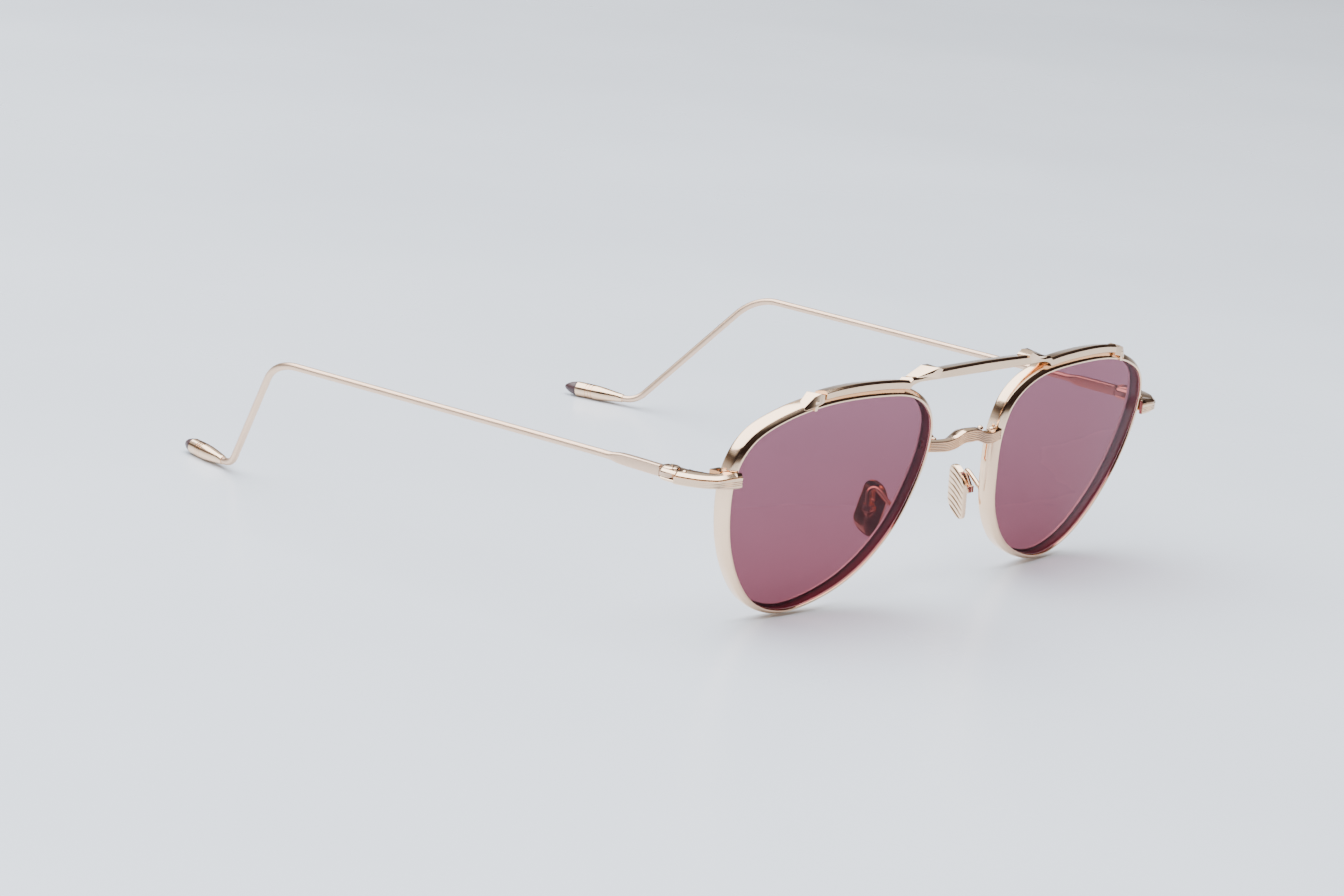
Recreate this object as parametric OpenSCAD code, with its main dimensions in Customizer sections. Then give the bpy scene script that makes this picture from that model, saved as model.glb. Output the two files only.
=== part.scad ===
// Wire-framed aviator sunglasses: two deep rims with tinted lenses, a brow bar and a lower
// bridge, end pieces with screw hinges, hooked wire temples with capped tips, and nose pads
// on wire arms. Standing open on its rims and temple tips: +X is the wearer's left, +Y runs
// back along the temples, +Z is up. The origin is on the table, in the middle of the box.

/* [Lenses] */
// Width of the opening in each rim
eye_w = 50.5; // [42:0.5:61]
// Height of the opening in each rim
eye_h = 42.2; // [35:0.2:51]
// Distance between the two openings, measured across the nose
eye_gap = 23.5; // [19:0.5:29]
// Lens thickness
lens_t = 2; // [1.4:0.1:2.2]
// How far the lens edge reaches into its groove
lens_grip = 0.6; // [0.3:0.05:0.8]
// Radius of the curve that lenses and rims are bent to
face_r = 173; // [120:1:260]
// How far each lens is turned towards its temple, degrees
face_wrap = 4.5; // [2:0.5:8]
// How far the lenses lean forward at the top, degrees
face_tilt = 11.8; // [6:0.2:15]

/* [Rims] */
// Wall of a rim, from its opening outwards
rim_wall = 1.3; // [1.05:0.05:1.8]
// Depth of a rim, front to back
rim_depth = 3.3; // [2.9:0.1:4.4]
// Thickness of the lip in front of the lens
lip_t = 0.6; // [0.4:0.05:0.7]

/* [Brow bar] */
// Height of the front face between the shoulders
bar_h = 2.1; // [1.4:0.1:2.6]
// Depth of the bar, front to back
bar_d = 2.9; // [2:0.1:3.6]
// Height of the arms above the rims
arm_h = 1.8; // [1:0.1:2.2]
// Rise of the bar above the arms
shoulder_h = 1.1; // [0.6:0.1:1.6]
// Height of the block on each shoulder
block_h = 0.7; // [0.4:0.1:1.2]

/* [Bridge] */
// Height of its front face
bridge_h = 2.1; // [1.4:0.1:2.8]
// Depth, front to back
bridge_d = 3; // [2:0.1:3.6]
// Rise of the middle over the ends
bridge_rise = 1.4; // [0.6:0.1:2.2]
// Height of the ends above the middle of the lenses
bridge_up = 9.1; // [6:0.1:12]

/* [End pieces] */
// Height of the lug that closes over the rim
lug_h = 2.8; // [2.4:0.1:3.4]
// Height of the hinge housing
housing_h = 2.2; // [1.8:0.1:2.6]
// Radius of the hinge housing
housing_r = 2.2; // [2:0.1:2.8]
// Distance from the lug's tip out to the hinge
hinge_out = 8.1; // [7:0.1:10]
// Distance from the lug's front back to the hinge
hinge_back = 10.1; // [9:0.1:13]

/* [Hinges] */
// Thickness of the temple's tongue
tongue_t = 0.64; // [0.5:0.02:0.8]
// Thickness of each washer
washer_t = 0.14; // [0.1:0.01:0.2]
// Radius of the hinge screw's shank
hinge_screw_r = 0.6; // [0.45:0.05:0.8]
// Radius of the hinge screw's head
hinge_head_r = 1.65; // [1.2:0.05:1.9]

/* [Temples] */
// Diameter of the temple wire
wire_d = 1.45; // [1.1:0.05:1.8]
// Hinge to the bend behind the ear, along the temple
temple_run = 100; // [84:1:120]
// Drop from the bend to the table, along the temple
hook_run = 21.7; // [18:0.1:26]
// Radius of the bend behind the ear
ear_bend_r = 12; // [8:0.5:14]
// Width of the flat root beside the hinge
root_w = 1.35; // [1:0.05:1.6]

/* [Tips] */
// Length of a tip sleeve
sleeve_len = 11.6; // [10:0.1:15]
// Radius of a tip sleeve at its band
sleeve_r = 1.62; // [1.3:0.02:2]
// Length of the coloured cap
cap_len = 3.3; // [2:0.1:4]

/* [Nose pads] */
// Width of a pad
pad_w = 5.5; // [4.5:0.1:6.6]
// Height of a pad
pad_h = 10.8; // [9:0.1:13]
// Thickness of a pad
pad_t = 1.1; // [0.9:0.05:1.3]
// Diameter of the pad arm's wire
arm_d = 0.9; // [0.7:0.05:1.1]
// Radius of the pad screw
pad_screw_r = 0.28; // [0.2:0.01:0.35]

/* [Hidden] */

$fn = 64;
gold = [0.86, 0.74, 0.64];
tint = [0.62, 0.44, 0.5, 0.6];
plum = [0.3, 0.12, 0.13];

far = 200;             // longer than any cut needs
fine = 160;            // facets of the large face spheres
lens_fit = 0.03;       // play of the lens in its groove
solder = 0.06;         // depth that a soldered piece sinks into its neighbour
running = 0.05;        // radial play of a turning pin
seat = 0.02;           // radial play of a fixed pin, and the play at each washer
weld = 0.03;           // length that a bend shares with the straight wire beside it
bend_slack = 0.005;    // how much thinner a bend is than the straight wire

// Half of the outline of an opening, as shares of half its width and half its height,
// anticlockwise from the temple side: flat over the brow, drooping outwards below.
EYE = [
    [1, 0.32], [0.9, 0.67], [0.61, 0.875], [0.2, 0.985], [-0.29, 0.995], [-0.69, 0.925],
    [-0.935, 0.72], [-1, 0.4], [-0.94, 0.02], [-0.81, -0.36], [-0.57, -0.69], [-0.26, -0.9],
    [0.12, -1], [0.46, -0.89], [0.72, -0.6], [0.915, -0.18]
];
eye_steps = 5;         // stretches of the curve between two of those points

lens_x = eye_gap / 2 + eye_w / 2 * cos(face_wrap);
lens_y = 0.5;
low_reach = eye_h / 2 + rim_wall;
lens_z = low_reach * cos(face_tilt) - low_reach * low_reach / (2 * face_r) * sin(face_tilt);

// Everything is drawn from the lenses, and then moved forward to stand round the origin
module on_table() {
    translate([0, -origin_y, 0]) children();
}

module both_ways(side) {
    if (side > 0) children();
    else mirror([1, 0, 0]) children();
}

// ---- curves -----------------------------------------------------------------------------

function bend(a, b, c, d, t) = (2 * b + (c - a) * t + (2 * a - 5 * b + 4 * c - d) * t * t
    + (3 * b - a - 3 * c + d) * t * t * t) / 2;

function closed_curve(p, steps) = [
    for (i = [0 : len(p) - 1]) for (j = [0 : steps - 1])
        bend(p[(i + len(p) - 1) % len(p)], p[i], p[(i + 1) % len(p)], p[(i + 2) % len(p)], j / steps)
];

function open_curve(p, steps) = concat([
    for (i = [0 : len(p) - 2]) for (j = [0 : steps - 1])
        bend(p[max(i - 1, 0)], p[i], p[i + 1], p[min(i + 2, len(p) - 1)], j / steps)
], [p[len(p) - 1]]);

function unit(v) = v / norm(v);

function eye_curve() = closed_curve([for (p = EYE) [p[0] * eye_w / 2, p[1] * eye_h / 2]], eye_steps);

// The opening's outline moved outwards by a distance
function eye_outline(out) = let (p = eye_curve(), n = len(p)) [
    for (i = [0 : n - 1]) let (d = unit(p[(i + 1) % n] - p[(i + n - 1) % n])) p[i] + out * [d[1], -d[0]]
];

function backwards(p) = [for (i = [len(p) - 1 : -1 : 0]) p[i]];

function flip(p) = [for (q = backwards(p)) [-q[0], q[1]]];

// ---- the lens frame: x outwards, y back, z up, from the middle of the lens ---------------

module at_lens() {
    translate([lens_x, lens_y, lens_z]) rotate([face_tilt, 0, face_wrap]) children();
}

module eye_prism(out) {
    rotate([90, 0, 0]) linear_extrude(60, center = true) polygon(eye_outline(out));
}

// Everything between two of the face's spheres
module face_shell(front, depth) {
    translate([0, face_r, 0]) difference() {
        sphere(face_r - front, $fn = fine);
        sphere(face_r - front - depth, $fn = fine);
    }
}

// The space that a rim takes up, sunk into by what is soldered to it
module rim_space(play) {
    at_lens() intersection() {
        eye_prism(rim_wall - play);
        face_shell(play, rim_depth - 2 * play);
    }
}

function turn_x(p, a) = [p[0], p[1] * cos(a) - p[2] * sin(a), p[1] * sin(a) + p[2] * cos(a)];
function turn_y(p, a) = [p[0] * cos(a) + p[2] * sin(a), p[1], p[2] * cos(a) - p[0] * sin(a)];
function turn_z(p, a) = [p[0] * cos(a) - p[1] * sin(a), p[0] * sin(a) + p[1] * cos(a), p[2]];

// Where a point of an outline stands once it lies on the curved face, a distance behind it
function on_face(p, back) = let (y = face_r - sqrt(face_r * face_r - p * p) + back)
    [lens_x, lens_y, lens_z] + turn_z(turn_x([p[0], y, p[1]], face_tilt), face_wrap);

rim_edge = eye_outline(rim_wall);

// ---- rims and lenses --------------------------------------------------------------------

lock_z = lens_z + 8.1;      // height of the split in the rim
split = 0.12;               // width of that split

module rim_body() {
    color(gold) difference() {
        at_lens() difference() {
            intersection() {
                eye_prism(rim_wall);
                face_shell(0, rim_depth);
            }
            eye_prism(0);
            intersection() {
                eye_prism(lens_grip + lens_fit);
                face_shell(lip_t, lens_t + 2 * lens_fit);
            }
        }
        translate([lens_x + eye_w / 2 - 2, -20, lock_z - split / 2]) cube([10, 40, split]);
    }
}

module lens_body() {
    color(tint) at_lens() intersection() {
        eye_prism(lens_grip);
        face_shell(lip_t + lens_fit, lens_t);
    }
}

// ---- brow bar ---------------------------------------------------------------------------

bar_y = -3.9;
rim_top = on_face(rim_edge[18], 0)[2];

// The arms stand on the rims from the shoulders to the clasps, between these outline points
arm_foot = [for (i = [23 : -1 : 14]) on_face(rim_edge[i], 0)];
arm_end = arm_foot[len(arm_foot) - 1];
arm_top = rim_top + arm_h;
bar_top = arm_top + shoulder_h;
bar_low = bar_top - bar_h;
shoulder_in = eye_gap / 2 + 4;
shoulder_out = shoulder_in + 3.4;
block_in = shoulder_in - 3.6;

// Half of the front view, from the middle outwards
bar_upper = concat(
    [[0, bar_top], [shoulder_in, bar_top - 0.15], [shoulder_out, arm_top - 0.05]],
    [for (p = arm_foot) if (p[0] > shoulder_out + 4) [p[0], (p[2] - rim_top) * 0.6 + arm_top]]
);
bar_under = concat(
    [[0, bar_low], [shoulder_out - 1, bar_low]],
    [for (p = arm_foot) if (p[0] > shoulder_out + 2) [p[0], p[2] - 0.3]]
);
// Half of the plan's front edge
bar_front = concat(
    [[0, bar_y], [shoulder_in, bar_y + 0.1]],
    [for (p = arm_foot) if (p[0] > shoulder_out + 2) [p[0], p[1] - 0.2]]
);

// A front view carried back, falling by a share of the distance
module bar_prism(upper, under, fall) {
    multmatrix([[1, 0, 0, 0], [0, 1, 0, 0], [0, -fall, 1, fall * bar_y], [0, 0, 0, 1]])
        rotate([90, 0, 0]) linear_extrude(30, center = true)
            polygon(concat(flip(upper), upper, backwards(under), [for (p = under) [-p[0], p[1]]]));
}

function moved(p, y) = [for (q = p) [q[0], q[1] + y]];

module plan_prism(front, depth) {
    translate([0, 0, -10]) linear_extrude(80)
        polygon(concat(flip(front), front, backwards(moved(front, depth)),
            [for (p = moved(front, depth)) [-p[0], p[1]]]));
}

// A hipped block across a shoulder: long foot on the bar, short ridge at its back
module shoulder_block() {
    back = bar_y + bar_d;
    hull() {
        translate([shoulder_out - 0.2, back - 1.6, arm_top - 0.4]) cube([1.4, 1.6, 0.3]);
        translate([block_in, back - 2.2, bar_top - 0.4]) cube([0.2, 2.2, 0.3]);
        translate([shoulder_in - 1, back - 1, bar_top + block_h - 0.2]) cube([3.2, 1, 0.2]);
        translate([shoulder_in - 0.6, bar_y + 0.25, bar_top - 0.6]) cube([0.6, 0.4, 0.3]);
    }
}

module brow_bar() {
    color(gold) difference() {
        union() {
            intersection() {
                bar_prism(bar_upper, bar_under, 0.16);
                plan_prism(bar_front, bar_d);
            }
            for (side = [-1, 1]) both_ways(side) shoulder_block();
        }
        for (side = [-1, 1]) both_ways(side) rim_space(solder);
    }
}

clasp_at = on_face(rim_edge[13], 0);

// The faceted end of an arm, and the claw that hooks over the rim's lip
module clasp_body() {
    color(gold) difference() {
        union() {
            hull() {
                translate([arm_end[0], arm_end[1] - 0.25, arm_end[2] - 0.8])
                    cube([0.1, bar_d + 0.2, arm_h + 0.7]);
                translate(clasp_at + [0.2, -0.3, -1]) cube([0.1, bar_d + 0.2, arm_h + 1]);
                translate(clasp_at + [2.3, 0.5, -1.7]) cube([0.1, bar_d - 0.8, 1.2]);
            }
            translate(clasp_at + [-0.45, -0.5, -1.35]) cube([0.9, 0.9, 2]);
        }
        rim_space(solder);
        at_lens() eye_prism(0.2);
    }
}

// ---- lower bridge -----------------------------------------------------------------------

bridge_z = lens_z + bridge_up;
bridge_half = eye_gap / 2 - rim_wall + 0.5;
bridge_y = -2.6;
bridge_top = open_curve([
    [0, bridge_z + bridge_rise + 1.1], [2, bridge_z + bridge_rise + 0.95], [4.4, bridge_z + 1.45],
    [6.6, bridge_z + 1.02], [8.6, bridge_z + 1], [bridge_half, bridge_z + 1.1]
], 4);
bridge_low = [for (p = bridge_top) [p[0], p[1] - bridge_h - 0.35 * pow(1 - p[0] / bridge_half, 2)]];
bridge_front = open_curve([
    [0, bridge_y], [4, bridge_y + 0.2], [8, bridge_y + 0.7], [bridge_half, bridge_y + 1.2]
], 3);

module bridge() {
    color(gold) difference() {
        intersection() {
            bar_prism(bridge_top, bridge_low, 0);
            plan_prism(bridge_front, bridge_d);
        }
        for (side = [-1, 1]) both_ways(side) rim_space(solder);
    }
}

// ---- end pieces, rim locks and hinges ----------------------------------------------------

rim_out = lens_x + (eye_w / 2 + rim_wall) * cos(face_wrap);
lug_x = rim_out - rim_wall - 0.3;      // inner end of the lug, over the lip
lug_y = 1.5;
mid_z = lock_z - 0.1;                // middle height of the lug, housing and temple
hinge_x = lug_x + hinge_out;
hinge_y = lug_y + hinge_back;
house_low = mid_z - housing_h / 2;
house_top = mid_z + housing_h / 2;
slot_h = tongue_t + 2 * washer_t + 4 * seat;

// The block behind the lug that clamps the rim shut round its lens
lock_w = 2.6;
lock_d = 2.4;
lock_x = rim_out - 0.7;
lock_y = lug_y + 2.7;

// Plan of the end piece: along the front, round the corner, and back to the hinge
end_plan = [
    [lug_x, lug_y], [rim_out + 1.6, lug_y + 0.35], [rim_out + 3.9, lug_y + 0.8],
    [rim_out + 5.2, lug_y + 1.7], [hinge_x + 0.8, lug_y + 4.2], [hinge_x + 1.8, lug_y + 6.8],
    [hinge_x + housing_r, hinge_y], [hinge_x - housing_r, hinge_y],
    [hinge_x - housing_r, lug_y + 6.6], [lock_x + lock_w + 1, lock_y + 0.5],
    [lock_x + lock_w, lock_y], [rim_out - 1, lock_y], [rim_out - 1.1, lug_y + 0.9], [lug_x, lug_y + 0.8]
];
// Front view of the same piece: the lug flares towards the rim
end_front = [
    [lug_x, mid_z - lug_h / 2], [rim_out + 1, mid_z - lug_h / 2 + 0.1], [rim_out + 4, house_low + 0.1],
    [hinge_x + 5, house_low], [hinge_x + 5, house_top], [rim_out + 4, house_top - 0.1],
    [rim_out + 1, mid_z + lug_h / 2 - 0.1], [lug_x, mid_z + lug_h / 2]
];

module at_hinge() {
    translate([hinge_x, hinge_y, mid_z]) children();
}

module end_piece_body() {
    color(gold) difference() {
        union() {
            intersection() {
                translate([0, 0, mid_z - 5]) linear_extrude(10) polygon(end_plan);
                rotate([90, 0, 0]) linear_extrude(60, center = true) polygon(end_front);
            }
            at_hinge() cylinder(h = housing_h, r = housing_r, center = true);
        }
        at_hinge() {
            cylinder(h = slot_h, r = housing_r + 0.25, center = true);
            translate([0, far / 2, 0]) cube([far, far, slot_h], center = true);
            cylinder(h = far, r = hinge_screw_r + seat, center = true);
        }
        rim_space(solder);
    }
}

lock_h = lug_h / 2 - 0.05;
lock_screw_x = rim_out + 1;
lock_screw_y = lock_y + lock_d / 2;
lock_screw_r = 0.38;
lock_head_r = 0.66;
lock_head_h = 0.45;
lock_play = 0.06;                    // gap between the halves beside the rim's split

module lock_half(low, high) {
    color(gold) difference() {
        translate([lock_x, lock_y, low]) cube([lock_w, lock_d, high - low]);
        translate([lock_screw_x, lock_screw_y, 0]) cylinder(h = far, r = lock_screw_r + seat);
        translate([lock_screw_x, lock_screw_y, lock_z - lock_h - 1])
            cylinder(h = lock_head_h + 1 + seat, r = lock_head_r + seat);
        rim_space(solder);
    }
}

module lock_upper_body() {
    lock_half(lock_z + lock_play, lock_z + lock_h);
}

module lock_lower_body() {
    lock_half(lock_z - lock_h, lock_z - lock_play);
}

module lock_screw_body() {
    color(gold) translate([lock_screw_x, lock_screw_y, lock_z - lock_h]) difference() {
        union() {
            cylinder(h = lock_head_h, r = lock_head_r);
            cylinder(h = 2 * lock_h - 0.2, r = lock_screw_r);
        }
        cube([2 * lock_head_r + 1, 0.2, 0.3], center = true);
    }
}

hinge_head_h = 0.5;

module hinge_screw_body() {
    color(gold) at_hinge() {
        translate([0, 0, -housing_h / 2 - 0.1])
            cylinder(h = housing_h + 0.2, r = hinge_screw_r);
        translate([0, 0, housing_h / 2]) rotate_extrude()
            polygon([[0, 0], [hinge_head_r, 0], [hinge_head_r, 0.15], [hinge_head_r * 0.85, 0.34],
                [hinge_head_r * 0.5, hinge_head_h - 0.04], [0, hinge_head_h]]);
    }
}

module hinge_washers_body() {
    color(gold) at_hinge() for (up = [-1, 1])
        translate([0, 0, up * (tongue_t / 2 + seat + washer_t / 2)]) difference() {
            cylinder(h = washer_t, r = hinge_screw_r + 0.9, center = true);
            cylinder(h = 1, r = hinge_screw_r + seat, center = true);
        }
}

// ---- temples ----------------------------------------------------------------------------

root_len = 16;
root_gap = 0.3;                      // between the housing and the root's shoulder
tongue_r = housing_r - 0.35;
wire_r = wire_d / 2;
floor_z = sleeve_r;                  // height of the tip's axis above the table

root_end = [hinge_x + 0.35, hinge_y + root_len, mid_z];
ear = [hinge_x + 2.1, hinge_y + temple_run, mid_z - 1.1];
heel = [hinge_x - 9.3, hinge_y + temple_run + hook_run, floor_z];
tail_dir = unit([-0.22, 0.975, 0]);
heel_bend_r = 6;
sleeve_at = heel + 3.1 * tail_dir;
wire_in_sleeve = 8;
tip_end = sleeve_at + (sleeve_len + cap_len) * tail_dir;

// The whole object runs from the brow bar's front to the ends of the caps
origin_y = (bar_y + tip_end[1]) / 2;

// Turns the z axis to a direction
module along(v) {
    rotate([0, acos(v[2] / norm(v)), atan2(v[1], v[0])]) children();
}

function cut_back(a, b, c, r) = r * tan((180 - acos(unit(a - b) * unit(c - b))) / 2);

module rod(a, b, r) {
    translate(a) along(b - a) cylinder(h = norm(b - a), r = r);
}

// A round bend of radius bend_r at corner b, in the plane of a, b and c
module elbow(a, b, c, bend_r, r) {
    u = unit(a - b);
    w = unit(c - b);
    turn = 180 - acos(u * w);
    start = b + u * cut_back(a, b, c, bend_r);
    side = unit(w - (w * u) * u);
    up = cross(side, u);
    centre = start + side * bend_r;
    // x from the centre to the bend's start, y along the travel
    multmatrix([
        [-side[0], -u[0], up[0], centre[0]],
        [-side[1], -u[1], up[1], centre[1]],
        [-side[2], -u[2], up[2], centre[2]],
        [0, 0, 0, 1]
    ]) rotate_extrude(angle = turn) translate([bend_r, 0]) circle(r - bend_slack);
}

// A wire through points, with a round bend at each inner one
module bent_wire(p, bends, r) {
    for (i = [1 : len(p) - 2]) elbow(p[i - 1], p[i], p[i + 1], bends[i - 1], r);
    for (i = [0 : len(p) - 2]) {
        u = unit(p[i + 1] - p[i]);
        from = i == 0 ? 0 : cut_back(p[i - 1], p[i], p[i + 1], bends[i - 1]) - weld;
        to = i == len(p) - 2 ? 0 : cut_back(p[i], p[i + 1], p[i + 2], bends[i]) - weld;
        rod(p[i] + u * from, p[i + 1] - u * to, r);
    }
}

module temple_body() {
    shoulder = housing_r + root_gap;
    color(gold) {
        difference() {
            at_hinge() union() {
                cylinder(h = tongue_t, r = tongue_r, center = true);
                translate([-root_w / 2, 0, -tongue_t / 2]) cube([root_w, shoulder + 1, tongue_t]);
                intersection() {
                    rotate([90, 0, 90]) linear_extrude(10, center = true) polygon([
                        [shoulder, -housing_h / 2 + 0.02], [root_len * 0.75, -housing_h / 2 + 0.1],
                        [root_len + 2, -wire_r * 0.75], [root_len + 2, wire_r * 0.75],
                        [root_len * 0.75, housing_h / 2 - 0.1], [shoulder, housing_h / 2 - 0.02]
                    ]);
                    linear_extrude(10, center = true) polygon([
                        [-root_w / 2, 0], [root_w / 2, 0], [root_w / 2 + 0.3, root_len * 0.75],
                        [0.35 + wire_r * 0.75, root_len + 2], [0.35 - wire_r * 0.75, root_len + 2],
                        [-root_w / 2 + 0.15, root_len * 0.75]
                    ]);
                }
            }
            at_hinge() cylinder(h = 5, r = hinge_screw_r + running, center = true);
        }
        bent_wire([root_end, ear, heel, sleeve_at + wire_in_sleeve * tail_dir],
            [ear_bend_r, heel_bend_r], wire_r);
    }
}

// ---- tips -------------------------------------------------------------------------------

band_len = 5;                        // straight band next to the cap
mouth_r = wire_r + 0.3;
cap_r = sleeve_r - 0.1;

module at_tip() {
    translate(sleeve_at) along(tail_dir) children();
}

module tip_sleeve_body() {
    color(gold) at_tip() difference() {
        rotate_extrude() polygon([
            [0, 0], [mouth_r, 0], [mouth_r + 0.35 * (sleeve_r - mouth_r), 1.4],
            [sleeve_r, sleeve_len - band_len], [sleeve_r, sleeve_len], [0, sleeve_len]
        ]);
        translate([0, 0, -1]) cylinder(h = wire_in_sleeve + 1.1, r = wire_r + seat);
        translate([0, 0, sleeve_len - 1]) cylinder(h = 2, r = cap_r / 2 + seat);
    }
}

module tip_cap_body() {
    color(plum) at_tip() translate([0, 0, sleeve_len]) rotate_extrude() polygon([
        [0, -0.95], [cap_r / 2, -0.95], [cap_r / 2, 0], [cap_r, 0], [cap_r * 0.94, cap_len * 0.25],
        [cap_r * 0.72, cap_len * 0.6], [cap_r * 0.36, cap_len * 0.9], [0, cap_len]
    ]);
}

// ---- nose pads --------------------------------------------------------------------------

// The pad frame: x away from the nose, y back across the pad, z up, from the middle of its face
pad_place = [eye_gap / 2 + 1.15, 9.4, lens_z - 5];
pad_turn = [11, -10, -20];
pivot_x = pad_t + 1.3;
pad_corner_r = 2.3;
box_in = pivot_x - 0.45;
box_out = pivot_x + 0.85;
cheek_t = 0.4;
ear_t = 0.8;                         // thickness of the pad's own ear
ear_play = 0.04;

module at_pad() {
    translate(pad_place) rotate(pad_turn) children();
}

module rounded_plate(w, h, r, t) {
    rotate([90, 0, 90]) linear_extrude(t) union() {
        square([w - 2 * r, h], center = true);
        square([w, h - 2 * r], center = true);
        for (sy = [-1, 1]) for (sz = [-1, 1])
            translate([sy * (w / 2 - r), sz * (h / 2 - r)]) circle(r);
    }
}

module nose_pad_body() {
    color(gold) at_pad() difference() {
        union() {
            rounded_plate(pad_w, pad_h, pad_corner_r, pad_t);
            translate([pad_t, 0, 0]) rotate([0, 90, 0]) cylinder(h = 0.4, r = 1.5);
            translate([pad_t, -ear_t / 2, -0.65]) cube([pivot_x - pad_t, ear_t, 1.3]);
            translate([pivot_x, 0, 0]) rotate([90, 0, 0]) cylinder(h = ear_t, r = 0.65, center = true);
        }
        translate([pivot_x, 0, 0]) rotate([90, 0, 0])
            cylinder(h = 4, r = pad_screw_r + running, center = true);
    }
}

module pad_screw_body() {
    long = ear_t + 2 * ear_play + 2 * cheek_t;
    color(gold) at_pad() translate([pivot_x, 0, 0]) rotate([90, 0, 0]) {
        cylinder(h = long, r = pad_screw_r, center = true);
        translate([0, 0, long / 2]) cylinder(h = 0.3, r = 0.5);
    }
}

function from_pad(p) = pad_place + turn_z(turn_y(turn_x(p, pad_turn[0]), pad_turn[1]), pad_turn[2]);

arm_r = arm_d / 2;
arm_root = on_face(eye_outline(rim_wall * 0.45)[42], rim_depth - 0.3);

module pad_arm_body() {
    cheek_in = ear_t / 2 + ear_play;
    color(gold) {
        at_pad() difference() {
            union() {
                for (sy = [-1, 1]) translate([box_in, sy > 0 ? cheek_in : -cheek_in - cheek_t, -0.7])
                    cube([box_out - box_in, cheek_t, 1.4]);
                translate([box_out - 0.05, -cheek_in - cheek_t, -0.7])
                    cube([0.5, 2 * (cheek_in + cheek_t), 1.4]);
            }
            translate([pivot_x, 0, 0]) rotate([90, 0, 0])
                cylinder(h = 4, r = pad_screw_r + seat, center = true);
        }
        difference() {
            bent_wire([arm_root, from_pad([0.9, -2.1, 6.3]), from_pad([box_out + 0.45, -0.4, 5.2]),
                from_pad([box_out + 0.45, 0, 0.2])], [1.3, 1.3], arm_r);
            rim_space(solder);
        }
    }
}

// ---- drawing ----------------------------------------------------------------------------

on_table() both_ways(-1) rim_body();  // rim_right
on_table() both_ways(1) rim_body();  // rim_left
on_table() both_ways(-1) lens_body();  // lens_right
on_table() both_ways(1) lens_body();  // lens_left
on_table() brow_bar();
on_table() both_ways(-1) clasp_body();  // brow_clasp_right
on_table() both_ways(1) clasp_body();  // brow_clasp_left
on_table() bridge();
on_table() both_ways(-1) end_piece_body();  // end_piece_right
on_table() both_ways(1) end_piece_body();  // end_piece_left
on_table() both_ways(-1) lock_upper_body();  // lock_upper_right
on_table() both_ways(1) lock_upper_body();  // lock_upper_left
on_table() both_ways(-1) lock_lower_body();  // lock_lower_right
on_table() both_ways(1) lock_lower_body();  // lock_lower_left
on_table() both_ways(-1) lock_screw_body();  // lock_screw_right
on_table() both_ways(1) lock_screw_body();  // lock_screw_left
on_table() both_ways(-1) hinge_screw_body();  // hinge_screw_right
on_table() both_ways(1) hinge_screw_body();  // hinge_screw_left
on_table() both_ways(-1) hinge_washers_body();  // hinge_washers_right
on_table() both_ways(1) hinge_washers_body();  // hinge_washers_left
on_table() both_ways(-1) temple_body();  // temple_right
on_table() both_ways(1) temple_body();  // temple_left
on_table() both_ways(-1) tip_sleeve_body();  // tip_sleeve_right
on_table() both_ways(1) tip_sleeve_body();  // tip_sleeve_left
on_table() both_ways(-1) tip_cap_body();  // tip_cap_right
on_table() both_ways(1) tip_cap_body();  // tip_cap_left
on_table() both_ways(-1) pad_arm_body();  // pad_arm_right
on_table() both_ways(1) pad_arm_body();  // pad_arm_left
on_table() both_ways(-1) pad_screw_body();  // pad_screw_right
on_table() both_ways(1) pad_screw_body();  // pad_screw_left
on_table() both_ways(-1) nose_pad_body();  // nose_pad_right
on_table() both_ways(1) nose_pad_body();  // nose_pad_left
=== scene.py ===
import math

import bmesh
import bpy
import numpy as np
from mathutils import Matrix, Vector


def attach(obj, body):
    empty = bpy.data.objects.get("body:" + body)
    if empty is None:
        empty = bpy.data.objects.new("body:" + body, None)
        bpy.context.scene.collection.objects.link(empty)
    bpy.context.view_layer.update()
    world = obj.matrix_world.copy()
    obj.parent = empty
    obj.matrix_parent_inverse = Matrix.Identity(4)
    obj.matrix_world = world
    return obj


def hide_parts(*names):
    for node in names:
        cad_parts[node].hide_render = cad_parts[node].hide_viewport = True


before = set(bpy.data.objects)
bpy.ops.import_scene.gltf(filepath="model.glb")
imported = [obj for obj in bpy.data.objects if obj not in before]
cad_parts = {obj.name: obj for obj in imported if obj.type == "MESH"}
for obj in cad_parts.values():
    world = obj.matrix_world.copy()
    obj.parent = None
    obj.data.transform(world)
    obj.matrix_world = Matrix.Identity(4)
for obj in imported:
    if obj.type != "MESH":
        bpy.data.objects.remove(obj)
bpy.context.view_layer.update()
MM = 0.001

# ---------------------------------------------------------------------------------------
# Rims. Each is a deep strip of rose-gold plated metal bent round its lens, with a bright
# lip in front, a groove for the lens and a slightly crowned side wall. The two rims are
# mirror images, so the shape is worked out once, in millimetres, for the wearer's left.
# ---------------------------------------------------------------------------------------

EYE_W, EYE_H, EYE_GAP = 50.5, 42.2, 23.5
FACE_R, FACE_WRAP, FACE_TILT = 173.0, math.radians(4.5), math.radians(11.8)
RIM_WALL, RIM_DEPTH = 1.3, 3.3
LIP_T, LENS_T, LENS_GRIP = 0.6, 2.0, 0.52
BAR_Y, TIP_END = -3.9, 150.859
ORIGIN_Y = (BAR_Y + TIP_END) / 2

# Shares of half the width and half the height of the opening, anticlockwise from the
# temple side: flat over the brow, drooping outwards below.
EYE = np.array([
    (1, 0.32), (0.9, 0.67), (0.61, 0.875), (0.2, 0.985), (-0.29, 0.995), (-0.69, 0.925),
    (-0.935, 0.72), (-1, 0.4), (-0.94, 0.02), (-0.81, -0.36), (-0.57, -0.69), (-0.26, -0.9),
    (0.12, -1), (0.46, -0.89), (0.72, -0.6), (0.915, -0.18),
])


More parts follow.
